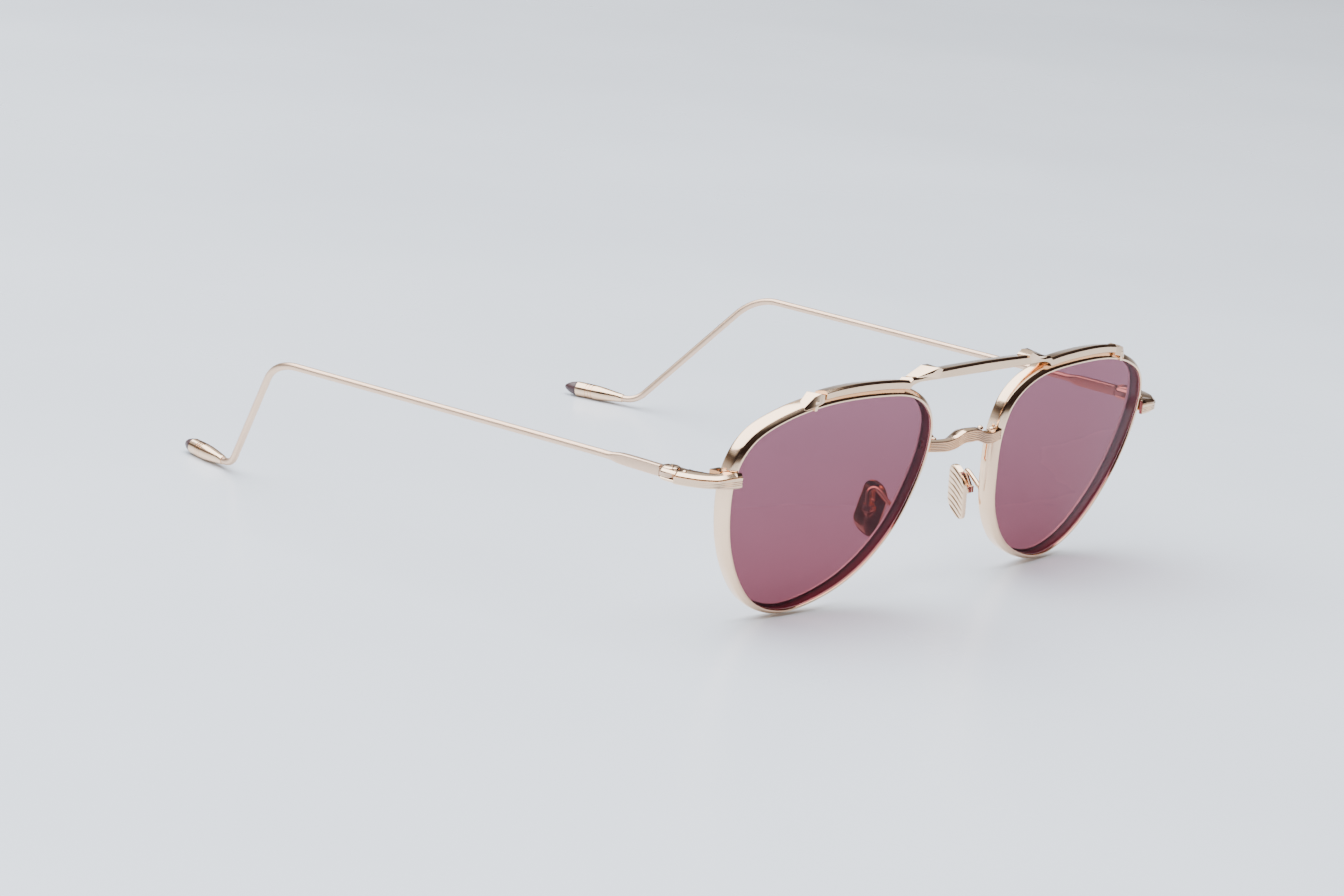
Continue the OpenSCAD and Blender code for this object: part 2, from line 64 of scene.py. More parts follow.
def smooth_path(points, steps, closed=False):
    """A Catmull-Rom curve through points, with steps stretches between each two."""
    p = np.asarray(points, float)
    n = len(p)
    at = (lambda i: p[i % n]) if closed else (lambda i: p[min(max(i, 0), n - 1)])
    out = []
    for i in range(n if closed else n - 1):
        a, b, c, d = at(i - 1), at(i), at(i + 1), at(i + 2)
        for t in np.arange(steps) / steps:
            out.append((2 * b + (c - a) * t + (2 * a - 5 * b + 4 * c - d) * t**2
                        + (3 * b - a - 3 * c + d) * t**3) / 2)
    if not closed:
        out.append(p[-1])
    return np.array(out)


EYE_STEPS = 14
eye_line = smooth_path(EYE * (EYE_W / 2, EYE_H / 2), EYE_STEPS, closed=True)
eye_run = np.roll(eye_line, -1, 0) - np.roll(eye_line, 1, 0)
eye_run /= np.linalg.norm(eye_run, axis=1)[:, None]
eye_out = np.stack([eye_run[:, 1], -eye_run[:, 0]], 1)


def eye_step(place):
    """The step of eye_line at a place counted in points of EYE."""
    return round(place * EYE_STEPS)



low_reach = EYE_H / 2 + RIM_WALL
LENS = np.array([
    EYE_GAP / 2 + EYE_W / 2 * math.cos(FACE_WRAP), 0.5,
    low_reach * math.cos(FACE_TILT) - low_reach**2 / (2 * FACE_R) * math.sin(FACE_TILT),
])
TO_FACE = np.array((Matrix.Rotation(FACE_WRAP, 3, "Z") @ Matrix.Rotation(FACE_TILT, 3, "X")))


def on_face(outline, back=0.0):
    """Where points (x outwards, z up) of a lens stand once they lie on the curved face."""
    p = np.atleast_2d(outline)
    y = FACE_R - np.sqrt(FACE_R**2 - (p**2).sum(1)) + back
    return LENS + np.stack([p[:, 0], y, p[:, 1]], 1) @ TO_FACE.T


def solid(name, points, faces, body, node, bevel=0.0, smooth=40, mirror=False):
    """A closed piece from millimetre points. It rides on body and stands for a CAD node."""
    p = np.array(points, float)
    if mirror:
        p = p * (-1, 1, 1)
    p = (p - (0, ORIGIN_Y, 0)) * MM
    mesh = bpy.data.meshes.new(name)
    mesh.from_pydata(p.tolist(), [], [list(f) for f in faces])
    bm = bmesh.new()
    bm.from_mesh(mesh)
    bmesh.ops.remove_doubles(bm, verts=bm.verts, dist=1e-7)
    bmesh.ops.dissolve_degenerate(bm, edges=bm.edges, dist=1e-7)
    bmesh.ops.recalc_face_normals(bm, faces=bm.faces)
    bm.to_mesh(mesh)
    bm.free()
    piece = bpy.data.objects.new(name, mesh)
    bpy.context.collection.objects.link(piece)
    if bevel:
        edge = piece.modifiers.new("edges", "BEVEL")
        edge.width, edge.segments, edge.limit_method = bevel * MM, 3, "ANGLE"
        edge.angle_limit = math.radians(28)
        edge.harden_normals = True
    mesh.shade_smooth()
    mesh.set_sharp_from_angle(angle=math.radians(smooth))
    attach(piece, body)
    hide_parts(node)
    return piece


def skin(rings, closed_path=False):
    """Faces over rings of points, capped at the ends unless the path closes on itself."""
    n, m = len(rings), len(rings[0])
    faces = []
    for i in range(n if closed_path else n - 1):
        for j in range(m):
            a, b = i * m + j, i * m + (j + 1) % m
            c, d = ((i + 1) % n) * m + (j + 1) % m, ((i + 1) % n) * m + j
            faces.append((a, b, c, d))
    if not closed_path:
        faces += [tuple(range(m - 1, -1, -1)), tuple(range((n - 1) * m, n * m))]
    return np.concatenate(rings), faces


class Value:
    """A shader socket that can be used in sums."""

    def __init__(self, finish, socket):
        self.finish = finish
        self.socket = socket

    def sum(self, kind, a, b):
        return self.finish.node("ShaderNodeMath", {"operation": kind}, {0: a, 1: b})

    def __add__(self, other):
        return self.sum("ADD", self, other)

    __radd__ = __add__

    def __sub__(self, other):
        return self.sum("SUBTRACT", self, other)

    def __rsub__(self, other):
        return self.sum("SUBTRACT", other, self)

    def __mul__(self, other):
        return self.sum("MULTIPLY", self, other)

    __rmul__ = __mul__

    def clamp(self, low, high):
        return self.finish.node("ShaderNodeClamp", {}, {"Value": self, "Min": low, "Max": high})


class Finish:
    """A material, or the room's light, whose nodes are added one call at a time."""

    def __init__(self, name, store=bpy.data.materials):
        self.owner = store.new(name)
        self.owner.use_nodes = True
        self.tree = self.owner.node_tree
        self.tree.nodes.clear()

    def node(self, kind, settings, sockets, out=0):
        made = self.tree.nodes.new(kind)
        for key, value in settings.items():
            if key == "stops":
                ramp = made.color_ramp
                while len(ramp.elements) < len(value):
                    ramp.elements.new(0.5)
                for element, (where, colour) in zip(ramp.elements, value):
                    element.position, element.color = where, (*colour, 1)
            else:
                setattr(made, key, value)
        for key, value in sockets.items():
            if isinstance(value, Value):
                self.tree.links.new(value.socket, made.inputs[key])
            else:
                made.inputs[key].default_value = value
        return Value(self, made.outputs[out])

    def place(self, scale=(1, 1, 1)):
        here = self.node("ShaderNodeTexCoord", {}, {}, out="Object")
        return self.node("ShaderNodeMapping", {}, {"Vector": here, "Scale": scale})

    def noise(self, size, detail, scale=(1, 1, 1)):
        return self.node("ShaderNodeTexNoise", {},
                         {"Vector": self.place(scale), "Scale": size, "Detail": detail}, out="Fac")

    def end(self, shader, kind="ShaderNodeOutputMaterial"):
        made = self.tree.nodes.new(kind)
        self.tree.links.new(shader.socket, made.inputs["Surface"])
        return self.owner


def plated(name, colour, shade, rough, grain=0.0, scale=(1, 1, 1)):
    """Rose-gold plating: a slow drift of tone, faint haze and, if asked, a fine grain."""
    f = Finish(name)
    drift = f.noise(90.0, 3.0)
    haze = f.noise(900.0, 6.0)
    streak = f.noise(2500.0, 4.0, scale)
    tone = f.node("ShaderNodeMix", {"data_type": "RGBA"},
                  {"Factor": (drift * 1.6 - 0.3).clamp(0.0, 1.0), 6: (*shade, 1), 7: (*colour, 1)}, out=2)
    bump = f.node("ShaderNodeBump", {}, {"Strength": 0.04 + grain, "Distance": 0.00004,
                                         "Height": haze * 0.4 + streak * 0.6})
    return f.end(f.node("ShaderNodeBsdfPrincipled", {}, {
        "Base Color": tone, "Metallic": 1.0, "Roughness": haze * 0.09 + streak * grain + rough,
        "Normal": bump,
    }))


POLISH = plated("rose gold polish", (0.92, 0.66, 0.45), (0.85, 0.58, 0.38), 0.085)
GROOVE = plated("unpolished groove", (0.97, 0.91, 0.88), (0.90, 0.82, 0.78), 0.55, 0.1)
SATIN = plated("rose gold satin", (0.80, 0.56, 0.40), (0.72, 0.49, 0.34), 0.2, 0.16, (0.15, 1, 1))

# (outwards from the opening, back from the front): lip, front chamfer, side wall, back, groove
RIM_SECTION = np.array([
    (0, 0.5), (0.03, 0.2), (0.09, 0.06), (0.17, 0.01), (0.25, 0), (0.42, 0.01), (0.5, 0.05), (0.6, 0.14),
    (1.04, 0.64), (1.14, 0.78), (1.22, 0.98), (1.27, 1.25), (1.3, 1.7), (1.29, 2.2), (1.27, 2.75),
    (1.23, 3.02), (1.12, 3.2), (0.95, 3.28), (0.8, 3.3), (0.45, 3.3), (0.25, 3.27), (0.1, 3.16), (0.02, 3.0),
    (0, 2.8), (0, 2.68), (0.6, 2.66), (0.6, 0.58), (0, 0.56),
])
GROOVE_FROM = 20  # the first side of RIM_SECTION that faces the lens


def turned(profile, sides=40, at=(0, 0, 0), to=(0, 0, 1)):
    """A lathe-turned solid: (radius, height) pairs round an axis."""
    spin = np.array(Vector(to).normalized().to_track_quat("Z", "Y").to_matrix())
    a = np.arange(sides) * 2 * math.pi / sides
    return skin([np.stack([r * np.cos(a), r * np.sin(a), np.full(sides, h)], 1) @ spin.T + np.array(at)
                 for r, h in profile])


def dome(radius, height, steps=6):
    """A domed profile from its rim to its top."""
    return [(max(radius * math.cos(t), 1e-4), height * math.sin(t))
            for t in np.linspace(0, math.pi / 2, steps)]


def merged(*solids):
    """Several sets of points and faces as one."""
    points, faces = [], []
    for p, f in solids:
        faces += [tuple(i + len(points) for i in face) for face in f]
        points += [tuple(q) for q in p]
    return points, faces


# A slotted rib stiffens the nose side of each rim, from the bridge down to the pad arm
RIB_FROM, RIB_SLOT_END, RIB_TO = (eye_step(place) for place in (6.92, 7.68, 8.48))
RIB_OUT, RIB_SLOT_OUT, RIB_MIDDLE = 1.66, 1.36, 1.85
RIB_BEAD_R = 0.25
rings = []
for k in range(RIB_FROM, RIB_TO + 1):
    fade = 1 - max(0, k - RIB_SLOT_END) / (RIB_TO - RIB_SLOT_END)
    slot = RIB_OUT if k > RIB_SLOT_END else RIB_SLOT_OUT
    wide = 0.35 + 0.65 * fade
    section = [(1.1, 1.2), (1.5, 1.27), (1.62, 1.4), (RIB_OUT, 1.6), (slot, 1.68), (slot, 2.02),
               (RIB_OUT, 2.1), (1.64, 2.28), (1.52, 2.42), (1.1, 2.5)]
    rings.append(np.concatenate([
        on_face(eye_line[k] + u * eye_out[k], RIB_MIDDLE + (v - RIB_MIDDLE) * wide) for u, v in section]))
bead_at = on_face(eye_line[RIB_SLOT_END] + 1.6 * eye_out[RIB_SLOT_END], RIB_MIDDLE)[0]
bead = turned([(0.0001, -0.2), (RIB_BEAD_R, -0.2)] + dome(RIB_BEAD_R, 0.22), 20, bead_at, (-1, 0, 0))
rib = merged(skin(rings), bead)

for side, mirror in (("left", False), ("right", True)):
    rings = []
    for edge, out in zip(eye_line, eye_out):
        rings.append(np.concatenate([on_face(edge + u * out, v) for u, v in RIM_SECTION]))
    points, faces = merged(skin(rings, closed_path=True), rib)
    rim = solid(f"rim_{side}_strip", points, faces, "front", f"rim_{side}",
                smooth=50, mirror=mirror)
    rim.data.materials.append(POLISH)
    rim.data.materials.append(GROOVE)
    sides = len(RIM_SECTION)
    for k, face in enumerate(rim.data.polygons):
        if k < len(eye_line) * sides and k % sides >= GROOVE_FROM:
            face.material_index = 1

# ---------------------------------------------------------------------------------------
# Lenses. Two-millimetre tinted plastic, bent to the same curve as the rims and ground to a
# rim edge that sits in the groove. The tint is a plum rose, a little deeper at the foot.
# ---------------------------------------------------------------------------------------

LENS_RINGS = 12
TINT_TOP, TINT_FOOT = (0.522, 0.331, 0.384), (0.428, 0.232, 0.268)


def lens_tint():
    f = Finish("plum rose lens")
    height = f.node("ShaderNodeSeparateXYZ", {}, {"Vector": f.place()}, out=2)
    cloud = f.noise(30.0, 2.0)
    up = (height * (1 / (EYE_H * MM)) + cloud * 0.12 - 0.06).clamp(0.0, 1.0)
    tint = f.node("ShaderNodeMix", {"data_type": "RGBA"},
                  {"Factor": up, 6: (*TINT_FOOT, 1), 7: (*TINT_TOP, 1)}, out=2)
    foot = f.node("ShaderNodeBsdfTransparent", {}, {"Color": (*TINT_FOOT, 1)})
    top = f.node("ShaderNodeBsdfTransparent", {}, {"Color": (*TINT_TOP, 1)})
    clear = f.node("ShaderNodeMixShader", {}, {0: up, 1: foot, 2: top})
    body = f.node("ShaderNodeBsdfPrincipled", {}, {
        "Base Color": tint, "Roughness": 0.03 + cloud * 0.02, "IOR": 1.5, "Coat Weight": 0.3,
        "Coat Roughness": 0.02,
    })
    gloss = f.node("ShaderNodeLayerWeight", {}, {"Blend": 0.2}, out="Fresnel")
    behind = f.node("ShaderNodeNewGeometry", {}, {}, out="Backfacing")
    share = (gloss * 0.8 + 0.03).clamp(0.0, 1.0) * (1 - behind)
    return f.end(f.node("ShaderNodeMixShader", {}, {0: share, 1: clear, 2: body}))


LENS_FINISH = lens_tint()
rim_line = eye_line + LENS_GRIP * eye_out
out_to_rim = np.maximum(np.linspace(0, 1, LENS_RINGS), 1e-4)
for side, mirror in (("left", False), ("right", True)):
    rows = [on_face(rim_line * share, LIP_T + 0.02) for share in out_to_rim]
    rows += [on_face(rim_line * share, LIP_T + LENS_T) for share in out_to_rim[::-1]]
    points, faces = skin(rows)
    lens = solid(f"lens_{side}_tinted", points, faces, "front", f"lens_{side}",
                 smooth=50, mirror=mirror)
    lens.data.materials.append(LENS_FINISH)

# ---------------------------------------------------------------------------------------
# Brow bar. One milled and polished bar runs across the top of both rims. It stands higher
# between two hipped shoulder blocks, and its arms are soldered along the rim tops.
# ---------------------------------------------------------------------------------------

BAR_DEPTH = 2.9
ARM_FROM, ARM_RISE, ARM_SLOPE = 21.5, 1.9, 0.42
rim_top = on_face(eye_line + RIM_WALL * eye_out)
arm_run = rim_top[eye_step(2.8):eye_step(4.8)][::-1]
arm_run = arm_run[arm_run[:, 0] > ARM_FROM][::3]

# x outwards, front, top edge in front, top edge at the back, underside in front and at the back
bar_rows = [
    (0, BAR_Y, 46.6, 46.2, 44.5, 44.5), (8, -3.87, 46.5, 46.15, 44.5, 44.5),
    (14.4, -3.79, 46.3, 45.95, 44.5, 44.5), (17.6, -3.55, 45.7, 45.4, 44.48, 44.4),
    (19.1, -3.42, 45.42, 45.1, 44.4, 44.3), (20.3, -3.38, 45.4, 45.0, 44.2, 44.0),
    (21.4, -3.33, 45.4, 45.0, 43.85, 43.6),
]
for x, y, z in arm_run:
    top = z + ARM_RISE - 0.1 * max(0, (x - 36) / 8)
    bar_rows.append((x, y - 0.2, top, top - ARM_SLOPE, z + 0.18, z - 0.25))


def bar_section(x, front, top, back_top, low, back_low):
    back = front + BAR_DEPTH
    return [
        (x, front, low + 0.1), (x, front, top - 0.5), (x, front + 0.05, top - 0.38),
        (x, front + 0.36, top - 0.07), (x, front + 0.5, top - 0.01),
        (x, back - 0.3, back_top + 0.02), (x, back - 0.12, back_top - 0.03), (x, back, back_top - 0.2),
        (x, back, back_low + 0.3), (x, back - 0.12, back_low + 0.1), (x, front + 0.9, low - 0.12),
        (x, front + 0.12, low),
    ]


def hulled(points):
    """Points and faces of the smallest convex solid round points."""
    bm = bmesh.new()
    for p in points:
        bm.verts.new(p)
    bmesh.ops.convex_hull(bm, input=bm.verts)
    bmesh.ops.dissolve_limit(bm, angle_limit=0.02, verts=bm.verts, edges=bm.edges)
    loose = [v for v in bm.verts if not v.link_faces]
    bmesh.ops.delete(bm, geom=loose, context="VERTS")
    bm.verts.index_update()
    out = [tuple(v.co) for v in bm.verts], [tuple(v.index for v in f.verts) for f in bm.faces]
    bm.free()
    return out


# The hipped block: a diamond facet looks outwards and forwards between two sloping flanks
hip = [
    (14.5, -3.86, 46.73), (15.7, -2.85, 46.84), (17.9, -3.5, 45.48), (16.4, -3.86, 45.9),
    (13.4, -3.87, 46.32), (13.2, -1.1, 46.1), (14.6, -1.0, 46.9), (16.5, -1.0, 46.86), (20.2, -3.1, 45.3),
    (20.4, -0.7, 45.1), (14.3, -3.8, 44.7), (18.2, -3.3, 44.6), (13.4, -1.1, 44.8), (20.2, -0.7, 44.5),
]
hips = [hulled([(sign * x, y, z) for x, y, z in hip]) for sign in (-1, 1)]
half = [np.array(bar_section(*row)) for row in bar_rows]
rings = [r * (-1, 1, 1) for r in half[:0:-1]] + half
points, faces = merged(skin(rings), *hips)
bar = solid("brow_bar_milled", points, faces, "front", "brow_bar", smooth=18)
bar.data.materials.append(POLISH)

# ---------------------------------------------------------------------------------------
# Clasps. Each arm ends in a faceted arrowhead, and a small claw under it reaches over the
# rim's lip.
# ---------------------------------------------------------------------------------------

cx, cy, cz = rim_top[eye_step(2.6)]
wedge = hulled([
    (cx - 2.2, cy - 0.3, cz + 0.1), (cx - 2.2, cy - 0.3, cz + 1.55), (cx - 2.2, cy + 2.7, cz + 0.1),
    (cx - 2.2, cy + 2.7, cz + 1.3), (cx - 0.9, cy - 0.5, cz - 0.1), (cx - 0.9, cy - 0.35, cz + 1.85),
    (cx - 0.2, cy + 2.5, cz + 1.75), (cx + 0.5, cy - 0.45, cz - 0.55), (cx + 0.6, cy - 0.1, cz + 1.35),
    (cx + 2.2, cy + 0.5, cz - 1.2), (cx + 2.2, cy + 2.5, cz - 1.2), (cx + 2.3, cy + 0.8, cz - 0.7),
    (cx + 2.3, cy + 2.4, cz - 0.6),
])
claw = hulled([
    (cx - 0.5, cy - 0.5, cz + 0.6), (cx + 0.45, cy - 0.45, cz + 0.5), (cx - 0.5, cy + 0.3, cz + 0.6),
    (cx + 0.45, cy + 0.3, cz + 0.5), (cx - 0.3, cy - 0.32, cz - 1.3), (cx + 0.35, cy - 0.28, cz - 1.35),
    (cx - 0.3, cy + 0.25, cz - 1.3), (cx + 0.35, cy + 0.3, cz - 1.35),
])
for side, mirror in (("left", False), ("right", True)):
    points, faces = merged(wedge, claw)
    clasp = solid(f"brow_clasp_{side}_faceted", points, faces, "front", f"brow_clasp_{side}",
                  bevel=0.07, smooth=30, mirror=mirror)
    clasp.data.materials.append(POLISH)

# ---------------------------------------------------------------------------------------
# Lower bridge. A swaged arch, soldered to both rims, with fine lines rolled along its
# front. A bead of solder and a small pin head show on top where it meets a rim.
# ---------------------------------------------------------------------------------------

BRIDGE_HALF, BRIDGE_DEPTH, BRIDGE_HEIGHT = 11.0, 2.9, 2.3
BRIDGE_LINES, LINE_DEEP = 6, 0.15
BRIDGE_UP = LENS[2] + 9.1
# x outwards, front, rise over the rims
bridge_line = smooth_path([
    (0, -2.6, 2.5), (2, -2.55, 2.35), (4.4, -2.38, 1.45), (6.6, -2.15, 1.02), (8.6, -1.8, 1.0),
    (BRIDGE_HALF, -1.25, 1.1),
], 6)
half = []
for x, front, rise in bridge_line:
    top = BRIDGE_UP + rise - 0.15
    low = top + 0.15 - BRIDGE_HEIGHT - 0.35 * (1 - x / BRIDGE_HALF) ** 2
    pitch = (top - low - 0.3) / BRIDGE_LINES
    face = []
    for k in range(BRIDGE_LINES):
        z = low + 0.16 + pitch * np.array([k + 0.1, k + 0.35, k + 0.65, k + 0.9])
        face += [(x, front, z[0]), (x, front + LINE_DEEP, z[1]),
                 (x, front + LINE_DEEP, z[2]), (x, front, z[3])]
    dip = 0.35 * math.exp(-((x - 4.7) / 1.6) ** 2)
    half.append(np.array([(x, front + 0.1, low + 0.04), *face, (x, front + 0.03, top - 0.08),
                          (x, front + 0.7, top + 0.15), (x, front + 0.9, top + 0.17 - dip * 0.3),
                          (x, front + BRIDGE_DEPTH - 0.2, top - 0.37 - dip),
                          (x, front + BRIDGE_DEPTH, top - 0.57 - dip), (x, front + BRIDGE_DEPTH, low + 0.2),
                          (x, front + BRIDGE_DEPTH - 0.15, low + 0.02), (x, front + 0.25, low)]))
rings = [r * (-1, 1, 1) for r in half[:0:-1]] + half
beads = []
for sign in (-1, 1):
    beads.append(turned([(0.0001, -0.6)] + dome(0.62, 0.62, 8), 24, (sign * 7.7, 1.5, 31.5)))
    beads.append(turned([(0.0001, -0.6), (0.55, -0.6)] + dome(0.55, 0.3), 24, (sign * 9.0, -0.2, 31.75)))
points, faces = merged(skin(rings), *beads)
bridge = solid("bridge_swaged", points, faces, "front", "bridge", smooth=28)
bridge.data.materials.append(POLISH)
# The floors of the rolled lines take a dark brown plating: painted shade in the grooves.
bridge.data.materials.append(plated("rolled line painted shade", (0.34, 0.23, 0.17), (0.26, 0.17, 0.13), 0.4))
sides = len(half[0])
# The face at the floor of each rolled line takes the dark painted-shade material.
for k, face in enumerate(bridge.data.polygons):
    place = k % sides
    if k < (len(rings) - 1) * sides and place < 4 * BRIDGE_LINES and place % 4 == 2:
        face.material_index = 1

# ---------------------------------------------------------------------------------------
# End pieces. Each is forged in one: a lined lug over the rim's front, a square turn back,
# and two plates that take the temple's tongue between them.
# ---------------------------------------------------------------------------------------

HINGE = np.array((69.89, 11.6, 29.63))
HOUSE_H, HOUSE_R, SLOT_H = 2.2, 2.2, 1.0
LUG_LINES = (-0.72, -0.4, -0.08)
# outer x, outer y, inner x, inner y, half height, line depth
lug_rows = np.array([
    (61.85, 1.62, 61.9, 2.35, 1.30, 0.14), (61.95, 1.52, 62.1, 2.45, 1.38, 0.14),
    (63.2, 1.62, 63.1, 3.0, 1.38, 0.14), (64.2, 1.75, 64.1, 4.1, 1.34, 0.12),
    (65.6, 1.95, 65.2, 4.2, 1.24, 0.09), (67.29, 2.35, 66.0, 4.6, 1.12, 0.03),
    (68.69, 3.25, 66.6, 5.3, 1.1, 0.01), (70.2, 4.75, 67.1, 6.6, 1.1, 0.0),
    (71.25, 6.6, 67.6, 7.8, 1.1, 0.0), (71.9, 8.3, 67.7, 8.6, 1.1, 0.0), (72.04, 9.1, 67.7, 9.1, 1.1, 0.0),
])
rings = []
for ox, oy, ix, iy, h, line in smooth_path(lug_rows, 4):
    o, i = np.array((ox, oy)), np.array((ix, iy))
    span = np.linalg.norm(i - o)
    inwards = (i - o) / span
    slope = min(0.78, span * 0.5)
    ring = [(0.16, -h), (0.0, -h + 0.18)]
    for where in LUG_LINES:
        ring += [(0.0, where - 0.09), (line, where - 0.03), (line, where + 0.03), (0.0, where + 0.09)]
    ring += [(0.0, h - 0.86), (0.16, h - 0.8), (0.2, h - 0.62), (0.12, h - 0.56),
             (slope - 0.06, h - 0.03), (slope + 0.04, h), (span - 0.1, h), (span, h - 0.1),
             (span, -h + 0.1), (span - 0.1, -h)]
    rings.append(np.array([(*(o + inwards * s), HINGE[2] + z) for s, z in ring]))
lug = skin(rings)


def plate(z_in, z_out):
    """One hinge plate, round at the back, with its outer edge chamfered."""
    around = np.linspace(0, math.pi, 28)
    rings = []
    for inset, z in ((0.12, z_in), (0, z_in + np.sign(z_out) * 0.1), (0, z_out * 0.62),
                     (0.08, z_out * 0.72), (0.4, z_out * 0.985), (0.5, z_out)):
        r = HOUSE_R - inset
        outline = [(72.03 - inset, 8.9)]
        outline += [(HINGE[0] + r * math.cos(t), HINGE[1] + r * math.sin(t)) for t in around]
        outline += [(HINGE[0] - r, 8.9)]
        rings.append(np.array([(x, y, HINGE[2] + z) for x, y in outline]))
    return skin(rings)


BEAD_R = 0.42
bead_at = (70.2, 8.2, HINGE[2] + HOUSE_H / 2)
bead = turned([(0.0001, -0.3), (BEAD_R, -0.3)] + dome(BEAD_R, 0.3, 8), 28, bead_at)
for side, mirror in (("left", False), ("right", True)):
    points, faces = merged(lug, bead, plate(SLOT_H / 2, HOUSE_H / 2), plate(-SLOT_H / 2, -HOUSE_H / 2))
    end = solid(f"end_piece_{side}_forged", points, faces, "front", f"end_piece_{side}",
                smooth=24, mirror=mirror)
    end.data.materials.append(POLISH)

# ---------------------------------------------------------------------------------------
# Hinge screws. A domed, slotted head sits on the upper plate, and its shank is the pin
# that the temple turns on.
# ---------------------------------------------------------------------------------------

HEAD_R, HEAD_H, SHANK_R = 1.7, 0.48, 0.6
SCREW_SLOT, SCREW_SLOT_DEEP, SLOT_ACROSS = 0.34, 0.16, np.array((0.8, 0.6))
top = HOUSE_H / 2
shank = [(0.0001, -top - 0.1), (SHANK_R - 0.1, -top - 0.1), (SHANK_R, -top), (SHANK_R, top),
         (HEAD_R, top), (HEAD_R, top + 0.12), (HEAD_R * 0.95, top + 0.2)]
head = [(r, top + 0.2 + h) for r, h in dome(HEAD_R * 0.93, HEAD_H - 0.2, 9)]
points, screw_faces = turned(shank + head, 64, HINGE)
screw_points = np.array(points)
on_head = screw_points[:, 2] > HINGE[2] + top + 0.19
in_slot = np.abs((screw_points - HINGE)[:, :2] @ SLOT_ACROSS) < SCREW_SLOT / 2
screw_points[on_head & in_slot, 2] -= SCREW_SLOT_DEEP
for side, mirror in (("left", False), ("right", True)):
    screw = solid(f"hinge_screw_{side}_domed", screw_points, screw_faces, "front", f"hinge_screw_{side}",
                  smooth=35, mirror=mirror)
    screw.data.materials.append(POLISH)

# ---------------------------------------------------------------------------------------
# Temples. Each starts as a flat tongue in the hinge, thickens into a flat root, and is
# drawn down to a thin round wire that bends behind the ear and hooks to its tip.
# ---------------------------------------------------------------------------------------

WIRE_D, TONGUE_T, TONGUE_R = 1.45, 0.8, 2.1
root_end = HINGE + (0.35, 16, 0)
ear = HINGE + (2.1, 100, -1.1)
heel = np.array((HINGE[0] - 9.3, HINGE[1] + 121.7, 1.62))
tail = np.array((-0.22, 0.975, 0))
tail /= np.linalg.norm(tail)
sleeve_at = heel + 3.1 * tail


def bent_path(points, radii, steps=14):
    """Straight runs between points with a round bend at each inner one."""
    p = [np.array(q, float) for q in points]
    path = [p[0]]
    for k in range(1, len(p) - 1):
        back, on = p[k - 1] - p[k], p[k + 1] - p[k]
        back, on = back / np.linalg.norm(back), on / np.linalg.norm(on)
        open_angle = math.acos(back @ on)
        cut = radii[k - 1] / math.tan(open_angle / 2)
        middle = (back + on) / np.linalg.norm(back + on)
        centre = p[k] + middle * radii[k - 1] / math.sin(open_angle / 2)
        start, end = p[k] + back * cut - centre, p[k] + on * cut - centre
        sweep = math.pi - open_angle
        for t in np.linspace(0, 1, steps):
            spoke = math.sin((1 - t) * sweep) * start + math.sin(t * sweep) * end
            path.append(centre + spoke / math.sin(sweep))
    return np.array(path + [p[-1]])


def wire_tree():
    """Nodes that give a line of points a round section."""
    tree = bpy.data.node_groups.new("drawn wire", "GeometryNodeTree")
    face = tree.interface
    face.new_socket("Line", in_out="INPUT", socket_type="NodeSocketGeometry")
    face.new_socket("Wire radius", in_out="INPUT", socket_type="NodeSocketFloat")
    face.new_socket("Sides", in_out="INPUT", socket_type="NodeSocketInt")
    face.new_socket("Finish", in_out="INPUT", socket_type="NodeSocketMaterial")
    face.new_socket("Wire", in_out="OUTPUT", socket_type="NodeSocketGeometry")
    given, result = tree.nodes.new("NodeGroupInput"), tree.nodes.new("NodeGroupOutput")
    line = tree.nodes.new("GeometryNodeMeshToCurve")
    circle = tree.nodes.new("GeometryNodeCurvePrimitiveCircle")
    sweep = tree.nodes.new("GeometryNodeCurveToMesh")
    sweep.inputs["Fill Caps"].default_value = True
    real = tree.nodes.new("GeometryNodeRealizeInstances")
    paint = tree.nodes.new("GeometryNodeSetMaterial")
    for a, b in (
        (given.outputs["Line"], line.inputs["Mesh"]),
        (given.outputs["Wire radius"], circle.inputs["Radius"]),
        (given.outputs["Sides"], circle.inputs["Resolution"]),
        (line.outputs[0], sweep.inputs["Curve"]),
        (circle.outputs[0], sweep.inputs["Profile Curve"]),
        (sweep.outputs[0], real.inputs[0]),
        (real.outputs[0], paint.inputs["Geometry"]),
        (given.outputs["Finish"], paint.inputs["Material"]),
        (paint.outputs[0], result.inputs["Wire"]),
    ):
        tree.links.new(a, b)
    return tree


def grown(tree, mesh, inputs):
    """The plain mesh that a node tree makes from mesh."""
    seed = bpy.data.objects.new("seed", mesh)
    bpy.context.collection.objects.link(seed)
    made = seed.modifiers.new("grow", "NODES")
    made.node_group = tree
    sockets = {s.name: s.identifier for s in tree.interface.items_tree if s.in_out == "INPUT"}
    for name, value in inputs.items():
        made[sockets[name]] = value
    bpy.context.view_layer.update()
    out = bpy.data.meshes.new_from_object(seed.evaluated_get(bpy.context.evaluated_depsgraph_get()))
    bpy.data.objects.remove(seed)
    return out


WIRE = wire_tree()


def wire(path, radius, finish, sides=28):
    """Points and faces, in millimetres, of a round wire along a path."""
    line = bpy.data.meshes.new("line")
    line.from_pydata([tuple(p) for p in path], [(k, k + 1) for k in range(len(path) - 1)], [])
    mesh = grown(WIRE, line, {"Wire radius": radius, "Sides": sides, "Finish": finish})
    return [tuple(v.co) for v in mesh.vertices], [tuple(f.vertices) for f in mesh.polygons]


def rounded(w, h, corner, steps=5):
    """A rounded oblong, as points (x, z)."""
    out = []
    for k, (sx, sz) in enumerate(((1, 1), (-1, 1), (-1, -1), (1, -1))):
        for t in np.linspace(0, math.pi / 2, steps):
            a = k * math.pi / 2 + t
            out.append((sx * (w / 2 - corner) + corner * math.cos(a),
                        sz * (h / 2 - corner) + corner * math.sin(a)))
    return np.array(out)


